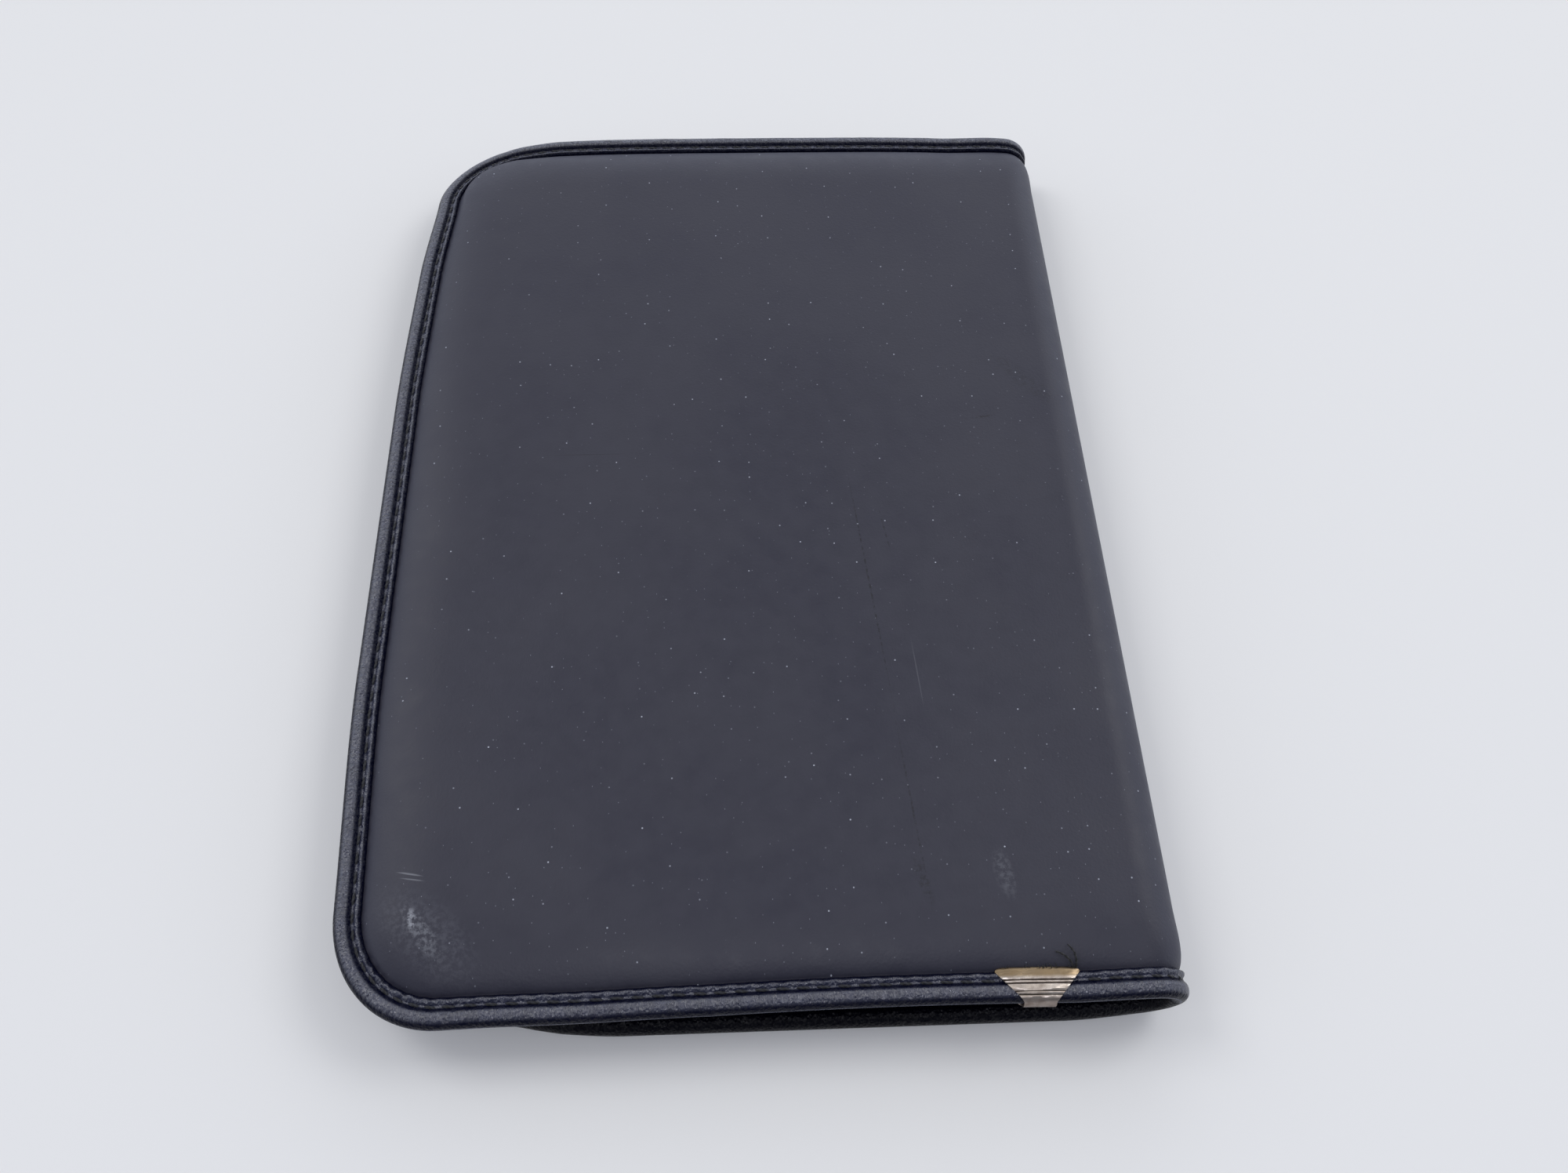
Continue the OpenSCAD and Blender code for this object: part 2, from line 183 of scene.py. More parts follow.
def pad_depth(side, xi, y):
    """Depth of the pad's face: grip_z at the crease, rising as (1 - (1 - s)^2.4)^0.68 over the slope to the top,
    with a slow ripple that dies out towards the spine."""
    s = np.clip(from_crease(xi, y) / roll_off, 0, 1)
    rise = (1 - (1 - s) ** 2.4) ** 0.68
    wave = ripple(xi, y, 4 if side == "front" else 9, (34, 47, 61, 83, 120))
    calm = rise * (1 - smooth((xi - 60) / 12))
    lift = 0.16 * wave - 0.12 if side == "front" else 0.10 + 0.10 * wave
    return (grip_z - end_lift(xi)) * (1 - rise) + lift * calm


def shift_at(y):
    """The bound ends fold round the further axis, and the pad, 13 mm inside them, round the spine's own."""
    return end_shift * (1 - smooth((top - lip - np.abs(y)) / 13))


# ---- meshes ----


def add_piece(name, points, quads, tris=None, uv=None, sharp=50):
    """A mesh object from points in millimetres and index arrays. It is turned inside out if its volume,
    the sum of a . (b x c) / 6 over its triangles, comes out negative."""
    points = np.asarray(points, float).reshape(-1, 3)
    tris = np.zeros((0, 3), int) if tris is None else np.asarray(tris)
    fans = np.concatenate([quads[:, [0, 1, 2]], quads[:, [0, 2, 3]], tris])
    a, b, c = (points[fans[:, i]] for i in range(3))
    if np.einsum("ij,ij->i", a, np.cross(b, c)).sum() < 0:
        quads, tris = quads[:, ::-1], tris[:, ::-1]
    corners = np.concatenate([quads.ravel(), tris.ravel()]).astype(np.int32)
    starts = np.concatenate([4 * np.arange(len(quads)), 4 * len(quads) + 3 * np.arange(len(tris))])
    mesh = bpy.data.meshes.new(name)
    mesh.vertices.add(len(points))
    mesh.vertices.foreach_set("co", (points * MM).astype(np.float32).ravel())
    mesh.loops.add(len(corners))
    mesh.loops.foreach_set("vertex_index", corners)
    mesh.polygons.add(len(starts))
    mesh.polygons.foreach_set("loop_start", starts.astype(np.int32))
    mesh.update(calc_edges=True)
    if uv is not None:
        layer = mesh.uv_layers.new(name="pattern")
        layer.data.foreach_set("uv", (np.asarray(uv).reshape(-1, 2)[corners] * MM).astype(np.float32).ravel())
    mesh.polygons.foreach_set("use_smooth", np.ones(len(starts), bool))
    mesh.set_sharp_from_angle(angle=math.radians(sharp))
    obj = bpy.data.objects.new(name, mesh)
    bpy.context.scene.collection.objects.link(obj)
    return obj


def grid_quads(index):
    """Quads of a grid of point numbers."""
    return np.stack([index[:-1, :-1], index[1:, :-1], index[1:, 1:], index[:-1, 1:]], -1).reshape(-1, 4)


def shell(name, outer, inner, uv=None, sharp=50):
    """A closed sheet: an outer and an inner grid of the same size, and a wall along their four borders."""
    rows, cols = outer.shape[:2]
    front = np.arange(rows * cols).reshape(rows, cols)
    rear = front + rows * cols
    around = np.concatenate([front[0], front[1:, -1], front[-1, -2::-1], front[-2:0:-1, 0]])
    around = np.append(around, around[0])
    wall = np.stack([around[:-1], around[1:], around[1:] + rows * cols, around[:-1] + rows * cols], -1)
    quads = np.concatenate([grid_quads(front), grid_quads(rear)[:, ::-1], wall[:, ::-1]])
    points = np.concatenate([outer.reshape(-1, 3), inner.reshape(-1, 3)])
    if uv is not None:
        uv = np.concatenate([uv.reshape(-1, 2)] * 2)
    return add_piece(name, points, quads, uv=uv, sharp=sharp)


def tubes(name, rings, uv=None, sharp=50):
    """Closed tubes from an array (tube, station, around, xyz): quads between stations, and each end a fan
    about its middle."""
    count, stations, around = rings.shape[:3]
    index = np.arange(count * stations * around).reshape(count, stations, around)
    loop = np.concatenate([index, index[:, :, :1]], 2)
    quads = np.stack([loop[:, :-1, :-1], loop[:, 1:, :-1], loop[:, 1:, 1:], loop[:, :-1, 1:]], -1).reshape(-1, 4)
    poles = index.size + np.arange(2 * count).reshape(2, count, 1)
    first = np.stack([loop[:, 0, :-1], loop[:, 0, 1:], poles[0] + 0 * loop[:, 0, 1:]], -1)
    last = np.stack([loop[:, -1, 1:], loop[:, -1, :-1], poles[1] + 0 * loop[:, 0, 1:]], -1)
    points = np.concatenate([rings.reshape(-1, 3), rings[:, 0].mean(1), rings[:, -1].mean(1)])
    if uv is not None:
        uv = np.concatenate([uv.reshape(-1, 2), uv[:, 0].mean(1), uv[:, -1].mean(1)])
    tris = np.concatenate([first.reshape(-1, 3), last.reshape(-1, 3)])
    return add_piece(name, points, quads, tris, uv, sharp)


def fold_with(obj, side):
    """Works out where the fold zone between its cover and the spine starts and ends, which nothing uses, and bakes
    the piece's transform into its mesh.
    """
    start = np.array([spine_x, 0, bend_from])
    end = start + np.array([bend_over / 2, 0, bend_over / 2])
    if side == "front":
        start[2], end[2] = 2 * mid_z - start[2], 2 * mid_z - end[2]
    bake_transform(obj)
    return obj


# ---- the edge that the binding follows ----

run_end = xi_end - left - corner_r
run_corner = corner_r * math.pi / 2
run_free = top - bottom - 2 * corner_r
edge_length = 2 * (run_end + run_corner) + run_free


def edge_point(side, s, u, v):
    """Point at distance s along the edge, u inwards from it and v outwards from the binding's middle plane.
    The edge runs from the middle of the spine along the lower end, round a corner, up the free edge, round
    the other corner and back along the upper end."""
    s, u, v = np.broadcast_arrays(s, u, v)
    far_half = s > edge_length / 2
    t = np.where(far_half, edge_length - s, s)
    turn = np.clip((t - run_end) / corner_r, 0, math.pi / 2)
    xi = xi_end - np.clip(t, None, run_end) - (corner_r - u) * np.sin(turn)
    y = bottom + np.clip(t - run_end - run_corner, 0, None) + corner_r - (corner_r - u) * np.cos(turn)
    return place(side, xi, np.where(far_half, -y, y), bind_z - end_lift(xi) - v, end_shift)


section = np.array([
    (0.00, 0.00), (0.10, 0.70), (0.50, 1.42), (1.20, 1.95), (2.05, 2.12), (2.80, 2.02), (3.30, 1.68),
    (3.62, 1.34), (3.90, 1.22), (4.15, 1.30), (4.45, 1.56), (4.85, 1.74), (5.25, 1.62), (5.55, 1.25),
    (5.62, 0.90), (5.45, 0.71), (4.40, 0.70), (1.60, 0.70),
])


def section_ring(fine):
    """The binding's section, in (u, v): a roll at the edge, a groove for the stitches and a turned lip, then
    the slot. Its two halves are mirror images, joined by a smooth closed curve through the points."""
    ring = np.concatenate([section, section[:0:-1] * (1, -1)])
    t = np.arange(len(ring))
    near = np.concatenate([ring[-2:], ring, ring[:3]])
    at = np.linspace(0, len(ring), fine, endpoint=False)
    k = at.astype(int)
    f = (at - k)[:, None]
    p0, p1, p2, p3 = near[k + 1], near[k + 2], near[k + 3], near[k + 4]
    square, cube = 2 * p0 - 5 * p1 + 4 * p2 - p3, 3 * p1 - p0 - 3 * p2 + p3
    return 0.5 * (2 * p1 + (p2 - p0) * f + square * f ** 2 + cube * f ** 3)


def stitch_phase(s):
    """1 midway along each stitch and -1 between stitches."""
    return np.cos(2 * math.pi * (s / pitch - 0.5))


def binding(side):
    """The section carried along the edge. The thread pulls the groove down and lets the lip swell between
    stitches; round the corners the lip gathers into pleats; the roll varies slowly in thickness."""
    s = np.linspace(0, edge_length, 861)[:, None]
    ring = section_ring(56)
    u, v = ring[:, 0][None], ring[:, 1][None]
    seed = 2 if side == "front" else 7
    to_corner = run_end + run_corner * 0.4
    corner = sum(smooth((14 - np.abs(s - c)) / 10) for c in (to_corner, edge_length - to_corner))
    in_groove = np.exp(-(((u - groove) / 0.55) ** 2)) * np.sign(v) * (np.abs(v) > 0.75)
    on_lip = np.exp(-(((u - 5.0) / 0.5) ** 2)) * np.sign(v) * (np.abs(v) > 0.75)
    on_roll = smooth((3.0 - u) / 1.2)
    pull = stitch_phase(s)
    pleat = np.cos(2 * math.pi * s / 3.3 + 1.3 * ripple(s, s, seed + 1, (7, 13)))
    slow = ripple(s, 0 * s, seed, (9, 14, 23, 41))
    lip_swell = -0.08 * pull * (1 - corner) + 0.26 * pleat * corner + 0.08 * slow
    v = v + in_groove * (-0.06 - 0.17 * pull) + on_lip * lip_swell
    u = u + np.abs(on_lip) * (-0.08 * pull + 0.14 * slow + 0.20 * pleat * corner)
    swell = 1 + on_roll * 0.028 * ripple(s, 0 * s, seed + 3, (5, 8, 17, 29))
    v = v * swell
    rings = edge_point(side, s, u, v)
    around = np.concatenate([[0], np.cumsum(np.linalg.norm(np.diff(ring, axis=0), axis=1))])
    uv = np.stack(np.broadcast_arrays(s, around[None]), -1)
    return tubes(f"{side}_binding_leather", rings[None], uv[None])


def stitches(name, side, s, u, v, half, thick, lean):
    """Thread segments centred at s, u and v: each follows the edge for half its length both ways, arches over
    by a fifth of its thickness, leans a little across, and is a round that shrinks as (1 - t^4)^0.5 at its ends."""
    t = np.linspace(-0.96, 0.96, 7)[None, :, None]
    around = np.linspace(0, 2 * math.pi, 8, endpoint=False)[None, None]
    s, u, v = (np.asarray(a, float).reshape(-1, 1, 1) for a in np.broadcast_arrays(s, u, v))
    r = thick * np.sqrt(1 - t ** 4)
    out = np.sign(v)
    across = u + lean * t + r * np.cos(around)
    height = v + out * (0.3 * thick * (1 - t ** 2)) + 0.8 * r * np.sin(around)
    rings = edge_point(side, s + t * half, across, height)
    uv = np.stack(np.broadcast_arrays(s + t * half + 0 * around, thick * around + 0 * s), -1)
    return tubes(name, rings, uv)


def stitch_row(side):
    """One thread segment per pitch on both faces of the binding, less those under the clip on the front."""
    count = int(edge_length / pitch)
    s = (np.arange(count) + 0.5) * pitch
    if side == "front":
        s = s[(s < xi_end - clip_x - 9) | (s > xi_end - clip_x + 9)]
    rng = np.random.default_rng(11)
    both = np.concatenate([s, s]) + rng.uniform(-0.12, 0.12, 2 * len(s))
    height = np.repeat([1.16, -1.16], len(s))
    across = groove + rng.uniform(-0.05, 0.05, 2 * len(s))
    return stitches(f"{side}_stitches", side, both, across, height, half=1.36, thick=0.29, lean=0.10)


# ---- covers ----


def pattern_grid(inset, columns_in_slope, columns_flat, columns_spine, rows_flat, rows_corner):
    """A flat pattern as a grid: rows across the cover, closer together round the corners, where they start on
    the rounded outline; columns close together over the slope and round the spine."""
    r = corner_r - inset
    turn = np.linspace(0, math.pi / 2, rows_corner)
    y_corner = top - corner_r + r * np.sin(turn)
    y = np.concatenate([-y_corner[::-1], np.linspace(corner_r - top, top - corner_r, rows_flat)[1:-1], y_corner])
    start = left + corner_r - r * np.cos(turn)
    x_start = np.concatenate([start[::-1], np.full(rows_flat - 2, left + inset), start])[:, None]
    slope = np.linspace(0, pad_slope, columns_in_slope)[None]
    spine = np.linspace(spine_from, xi_end, columns_spine)[None] + 0 * x_start
    f = np.linspace(0, 1, columns_flat + 2)[1:-1][None]
    flat = (x_start + pad_slope) * (1 - f) + spine_from * f
    xi = np.concatenate([x_start + slope, flat, spine], 1)
    return xi, y[:, None] + 0 * xi


def overhang(xi, y):
    """How far the pad leans out over the binding at the upper free corner: 0 at the crease and at the slope's
    top, most a fifth of the way up."""
    s = np.clip(from_crease(xi, y) / roll_off, 0, 1)
    return 3.4 * np.sqrt(in_corner(xi, y, 1)) * smooth(s / 0.2) * (1 - smooth((s - 0.2) / 0.8))


def cover_leather(side):
    """Outer leather of a cover and half the spine: the pad's face, and the same face one skin deeper."""
    xi, y = pattern_grid(grip, 26, 62, 34, 118, 28)
    depth, shift = pad_depth(side, xi, y), shift_at(y)
    if side == "back":
        depth = np.maximum(depth, 0)
    uv = np.stack([xi - left, y - bottom], -1)
    if side == "front":
        out = overhang(xi, y)
        xi, y = xi - 0.7 * out, y + out
    face = place(side, xi, y, depth, shift)
    piece = shell(f"{side}_outer_leather", face, place(side, xi, y, depth + skin, shift), uv)
    return piece


def lining_depth(xi, y):
    """Depth of the lining's inner face: face_z over the board, down by 3.4 past the board's edge, and up by 1.3
    over the foam in the spine; near the bound ends it stays at face_z."""
    inside = smooth((top - lip - 1 - np.abs(y)) / 9)
    step = 3.4 * smooth((xi - 65.5) / 7) - 1.3 * smooth((xi - 76.5) / 5)
    return face_z - (1 - inside) * end_lift(xi) - inside * step


def cover_lining(side):
    """Lining of a cover and half the spine, one cloth thick. Its flat size is measured along its own middle row
    and column."""
    xi, y = pattern_grid(lining_edge, 8, 40, 34, 70, 14)
    depth, shift = lining_depth(xi, y), shift_at(y)
    inner = place(side, xi, y, depth, shift)
    uv = np.stack([xi - left, y - bottom], -1)
    piece = shell(f"{side}_lining_cloth", place(side, xi, y, depth - cloth, shift), inner, uv)
    row, column = inner[len(inner) // 2], inner[:, 60]
    width, length = (
        np.linalg.norm(np.diff(line, axis=0), axis=1).sum() * MM for line in (row, column)
    )
    a, b, c, d = inner[:-1, :-1], inner[1:, :-1], inner[1:, 1:], inner[:-1, 1:]
    area = 0.5 * np.linalg.norm(np.cross(c - a, d - b), axis=-1).sum() * MM ** 2
    area = min(area, width * length)
    return piece


def spine_padding(side):
    """Half of the thin foam in the spine, between its leather and its lining."""
    xi = np.linspace(spine_x + mid_z * math.pi / 4 + 0.3, xi_end, 12)[None]
    y = np.linspace(bottom + foam_end, top - foam_end, 60)[:, None]
    xi, y = np.broadcast_arrays(xi, y)
    outer, inner = (place(side, xi, y, skin + under + 0 * xi, 0 * y) for under in (0.02, 1.2))
    piece = shell(f"{side}_spine_foam", outer, inner, np.stack([xi, y], -1))
    return piece


# ---- pockets ----


def pocket(name, side, x0, x1, y0, y1, mouth, nodes):
    """A thin leather panel: a rounded rectangle whose rim runs down to the lining, raised over its turned edge,
    with a fold twice as thick along its mouth, which is left open on the side towards the spine ("x") or the
    upper end ("y"). Corners at the free edge follow the binding."""
    a, b = np.linspace(0, 1, 72)[None], np.linspace(0, 1, 96)[:, None]
    a, b = 0.5 - 0.5 * np.cos(math.pi * a), 0.5 - 0.5 * np.cos(math.pi * b)
    xi, y = x0 + (x1 - x0) * a + 0 * b, y0 + (y1 - y0) * b + 0 * a
    r = corner_r - pocket_edge
    over = np.abs(y) - (top - corner_r)
    round_start = left + corner_r - np.sqrt(np.maximum(r ** 2 - np.clip(over, 0, r) ** 2, 0))
    start = np.maximum(np.where(over > 0, round_start, left + pocket_edge), x0)
    xi = start + (x1 - start) * (xi - x0) / (x1 - x0)
    rim = np.minimum(np.minimum(xi - start, x1 - xi), np.minimum(y - y0, y1 - y))
    to_mouth = x1 - xi if mouth == "x" else y1 - y
    lift = 0.62 * np.sqrt(np.clip(rim / 0.5, 0, 1)) + 0.12 * (1 - smooth((to_mouth - 2.6) / 0.5))
    depth = face_z + 0.02 + lift
    depth = depth - 0.10 * np.exp(-(((rim - 1.6) / 0.45) ** 2))
    floor = face_z + 0.02 + 0.26 * smooth(rim / 1.2)
    floor = np.minimum(floor, depth - 0.01)
    uv = np.stack([xi - left, y - bottom], -1)
    piece = shell(name, place(side, xi, y, floor, 0), place(side, xi, y, depth, 0), uv)
    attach(piece, f"{side}_cover")
    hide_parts(*nodes)
    return piece


# ---- clip and thread ends ----

clip_low, clip_high = (1000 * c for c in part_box("binding_clip"))
clip_x = (clip_low.x + clip_high.x) / 2
clip_wide, clip_narrow, clip_reach = 8.1, 3.1, 6.3
clip_grooves = (1.05, 1.7, 3.2, 3.85)


def clip_sheet():
    """Sheet metal folded over the binding: two flat jaws joined by a half round over the roll. Its half width
    grows from the edge to the jaws' ends, whose corners are rounded; each jaw has two pairs of pressed grooves,
    its sides bend down a little, and it is dented by use."""
    fold_r = roll_r + clip_gap
    jaw = np.linspace(clip_reach, roll_r, 64)
    arc = np.linspace(-math.pi / 2, math.pi / 2, 26)[1:-1]
    height = np.interp(jaw, [roll_r, clip_reach], [fold_r, 2.05])
    u = np.concatenate([jaw, roll_r - fold_r * np.cos(arc), jaw[::-1]])[:, None]
    v = np.concatenate([-height, fold_r * np.sin(arc), height[::-1]])[:, None]
    across = np.sin(np.linspace(-math.pi / 2, math.pi / 2, 40))[None]
    grow = np.clip((u + 0.2) / 5.6, 0, 1)
    half = clip_narrow + (clip_wide - clip_narrow) * grow
    half = half - 1.1 * np.clip((u - 5.3) / 1.0, 0, 1) ** 3
    x = clip_x + half * across
    on_jaw = smooth((u - 1.2) / 0.6)
    press = sum(np.exp(-(((u - g) / 0.13) ** 2)) for g in clip_grooves)
    bent = 0.35 * np.abs(across) ** 6 + 0.22 * np.clip((u - 5.7) / 0.6, 0, 1) ** 2
    dent = 0.07 * ripple(x, 3 * u, 5, (3.1, 4.7, 7.9)) + 0.03 * ripple(x, u, 8, (0.9, 1.3, 1.7))
    drop = on_jaw * bent + smooth((u - 0.4) / 0.5) * 0.28 * press + dent
    outer_v = v - np.sign(v) * drop * np.clip(np.abs(v) / 2, 0, 1)
    outer_u = u + 0 * across
    toward = np.hypot(np.maximum(roll_r - u, 0), v)
    thinner = 1 - clip_thick / toward
    inner_u = np.where(u < roll_r, roll_r + (u - roll_r) * thinner, u) + 0 * across
    inner_v = np.where(u < roll_r, v * thinner, v - np.sign(v) * clip_thick)
    inner_v = inner_v - np.sign(v) * on_jaw * bent
    outer = place("front", x, bottom + outer_u, bind_z - end_lift(x) - outer_v, 0)
    inner = place("front", x, bottom + inner_u, bind_z - end_lift(x) - inner_v, 0)
    uv = np.stack(np.broadcast_arrays(x - clip_x, u), -1)
    piece = shell("folded_clip", outer, inner, uv, sharp=60)
    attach(piece, "front_cover")
    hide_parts("binding_clip")
    return piece


def thread_end(points, thick, stations=24):
    """A thread along a smooth curve through its points (x, y and height over the leather or binding)."""
    points = np.asarray(points, float)
    t = np.linspace(0, 1, stations)
    knots = np.linspace(0, 1, len(points))
    weight = np.polyfit(knots, points, len(points) - 1)
    line = sum(w[None] * t[:, None] ** (len(points) - 1 - i) for i, w in enumerate(weight))
    x, y, over = line.T
    crease = np.maximum(pad_depth("front", x, y), 0) - over
    middle = place("front", x, y, crease, 0)
    along = np.gradient(middle, axis=0)
    along /= np.linalg.norm(along, axis=1, keepdims=True)
    side = np.cross(along, [0, 0, 1.0])
    side /= np.linalg.norm(side, axis=1, keepdims=True)
    up = np.cross(side, along)
    around = np.linspace(0, 2 * math.pi, 8, endpoint=False)[None]
    taper = thick * (1 - 0.35 * t ** 6)[:, None]
    twist = 1 + 0.22 * np.cos(2 * around - 26 * t[:, None])
    r = (taper * twist)[..., None]
    ring = np.cos(around)[..., None] * side[:, None] + np.sin(around)[..., None] * up[:, None]
    return middle[:, None] + r * ring


def loose_ends():
    """Two loose ends of thread beside the clip and the frayed fibres that stick out from under its edge."""
    y0 = bottom + clip_reach - 0.4
    thick = np.stack([
        thread_end([(clip_x + x, y0 + y, over) for x, y, over in points], thick)
        for points, thick in (
            (((7.2, 0.3, 0.3), (5.8, 2.0, 0.5), (3.8, 3.0, 0.3)), 0.20),
            (((7.6, 0.3, 0.3), (7.4, 2.4, 0.6), (6.2, 4.2, 0.3)), 0.19),
        )
    ])
    rng = np.random.default_rng(21)
    fine = []
    for x in clip_x + np.concatenate([rng.uniform(-7.2, 7.2, 9), rng.uniform(-3.8, 3.2, 4)]):
        lean, out, over = rng.uniform(-0.9, 0.9), rng.uniform(0.5, 1.1), rng.uniform(0.35, 0.9)
        knots = [(x, y0 - 0.1, 0.55), (x + 0.6 * lean, y0 + 0.6 * out, over), (x + lean, y0 + out, over * 0.7)]
        fine.append(thread_end(knots, 0.075))
    pieces = [tubes("thread_ends", thick), tubes("frayed_fibres", np.stack(fine))]
    for piece in pieces:
        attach(piece, "front_cover")
    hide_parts("thread_tails")
    return pieces


def pen_loop():
    """Ribbed elastic round the pen space: a ring about its axis, drawn out into a tab where it is sewn to the
    spine's lining, with eleven ribs along its width."""
    low, high = (1000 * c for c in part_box("pen_loop"))
    bore = (high.z - low.z) / 2 - elastic_thick
    axis_x = low.x + bore + elastic_thick
    turn = np.linspace(0, 2 * math.pi, 72, endpoint=False)[None]
    y = np.linspace(low.y, high.y, 90)[:, None]
    rib = 0.07 * np.cos(2 * math.pi * (y - low.y) / 2.0) * (1 - smooth((np.abs(y) - high.y + 0.8) / 0.8))
    tab = (high.x - axis_x - bore - elastic_thick) * np.exp(-((np.angle(np.exp(1j * turn)) / 0.24) ** 4))
    wall_out = bore + 0.72 + tab + rib
    wall_in = bore + 0.03 + 0 * wall_out
    outer, inner = (
        np.stack(np.broadcast_arrays(axis_x + r * np.cos(turn), y, mid_z + r * np.sin(turn)), -1)
        for r in (wall_out, wall_in)
    )
    loop = np.concatenate([outer, inner[::-1]], 0)
    index = np.arange(loop.shape[0] * loop.shape[1]).reshape(loop.shape[:2])
    index = np.concatenate([index, index[:1]], 0)
    index = np.concatenate([index, index[:, :1]], 1)
    uv = np.stack(np.broadcast_arrays(turn * bore, np.concatenate([y, y[::-1]], 0)), -1)
    piece = add_piece("elastic_loop", loop, grid_quads(index), uv=uv)
    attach(piece, "spine")
    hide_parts("pen_loop")
    return piece


# ---- materials ----


def colour(code):
    """sRGB hex to the linear values that a shader takes."""
    c = np.array([int(code[i:i + 2], 16) for i in (1, 3, 5)]) / 255
    return (*np.where(c <= 0.04045, c / 12.92, ((c + 0.055) / 1.055) ** 2.4), 1.0)


def node(tree, kind, settings=None, **links):
    """Adds a node, sets its properties or sockets, and links the sockets named in links."""
    new = tree.nodes.new(kind)
    for key, value in (settings or {}).items():
        if isinstance(key, str) and hasattr(new, key):
            setattr(new, key, value)
        else:
            new.inputs[key].default_value = value
    for key, socket in links.items():
        name = key.replace("_", " ")
        target = new.inputs[int(key[1:])] if key[0] == "i" and key[1:].isdigit() else new.inputs[name]
        tree.links.new(socket, target)
    return new


def material(name, **sockets):
    """A material with its shader's uniform values set on the shader itself."""
    made = bpy.data.materials.new(name)
    made.use_nodes = True
    shader = made.node_tree.nodes["Principled BSDF"]
    for key, value in sockets.items():
        shader.inputs[key.replace("_", " ")].default_value = value
    return made, made.node_tree, shader


def pattern(tree, scale=(1, 1, 1), source="UV"):
    """The piece's own pattern in millimetres, stretched by scale."""
    where = node(tree, "ShaderNodeTexCoord").outputs[source]
    settings = {"Scale": tuple(s / MM for s in scale)}
    return node(tree, "ShaderNodeMapping", settings, Vector=where).outputs["Vector"]


def noise(tree, vector, size, detail=3.0, rough=0.5):
    """Noise whose lumps are about size millimetres."""
    settings = {"Scale": 1 / size, "Detail": detail, "Roughness": rough}
    return node(tree, "ShaderNodeTexNoise", settings, Vector=vector).outputs["Fac"]


def cells(tree, vector, size, **settings):
    """Voronoi cells about size millimetres across."""
    return node(tree, "ShaderNodeTexVoronoi", {"Scale": 1 / size, **settings}, Vector=vector).outputs


def yarns(tree, vector, scale, distortion, direction):
    """Waves that stand for yarns or strands, scale to the millimetre, in the given direction."""
    settings = {"Scale": scale, "Distortion": distortion, "bands_direction": direction}
    return node(tree, "ShaderNodeTexWave", settings, Vector=vector).outputs["Fac"]


def ramp(tree, value, low, high, to_low=0.0, to_high=1.0):
    """Maps value from low..high to to_low..to_high, smoothly and clamped."""
    limits = {"From Min": low, "From Max": high, "To Min": to_low, "To Max": to_high}
    settings = {"interpolation_type": "SMOOTHSTEP", **limits}
    return node(tree, "ShaderNodeMapRange", settings, Value=value).outputs["Result"]


def mixed(tree, share, a, b):
    """Mixes two colours, each a hex code or a socket, by share."""
    new = node(tree, "ShaderNodeMix", {"data_type": "RGBA"})
    share_at, a_at, b_at, colour_out = 0, 6, 7, 2  # a Mix node's colour sockets share their names with others
    for value, at in ((share, share_at), (a, a_at), (b, b_at)):
        socket = new.inputs[at]
        if isinstance(value, str):
            socket.default_value = colour(value)
        elif isinstance(value, float):
            socket.default_value = value
        else:
            tree.links.new(value, socket)
    return new.outputs[colour_out]


def math_node(tree, operation, a, b=None):
    """One arithmetic step on sockets or numbers."""
    new = node(tree, "ShaderNodeMath", {"operation": operation})
    for i, value in enumerate((a, b)):
        if value is None:
            continue
        if isinstance(value, (int, float)):
            new.inputs[i].default_value = value
        else:
            tree.links.new(value, new.inputs[i])
    return new.outputs["Value"]


def bumped(tree, shader, height, distance, strength=1.0):
    """Feeds a height, in units of distance millimetres, to the shader's normal."""
    bump = node(tree, "ShaderNodeBump", {"Strength": strength, "Distance": distance * MM}, Height=height)
    tree.links.new(bump.outputs["Normal"], shader.inputs["Normal"])


def mark(tree, vector, x, y, length, width, turn):
    """A soft-edged ellipse, 1 inside and 0 outside, at a place on the pattern."""
    spot = node(tree, "ShaderNodeMapping", {
        "vector_type": "TEXTURE", "Location": (x - left, y - bottom, 0),
        "Rotation": (0, 0, math.radians(turn)), "Scale": (length / 2, width / 2, 1),
    }, Vector=vector)
    size = node(tree, "ShaderNodeVectorMath", {"operation": "LENGTH"}, Vector=spot.outputs["Vector"])
    return ramp(tree, size.outputs["Value"], 0.35, 1.0, 1.0, 0.0)


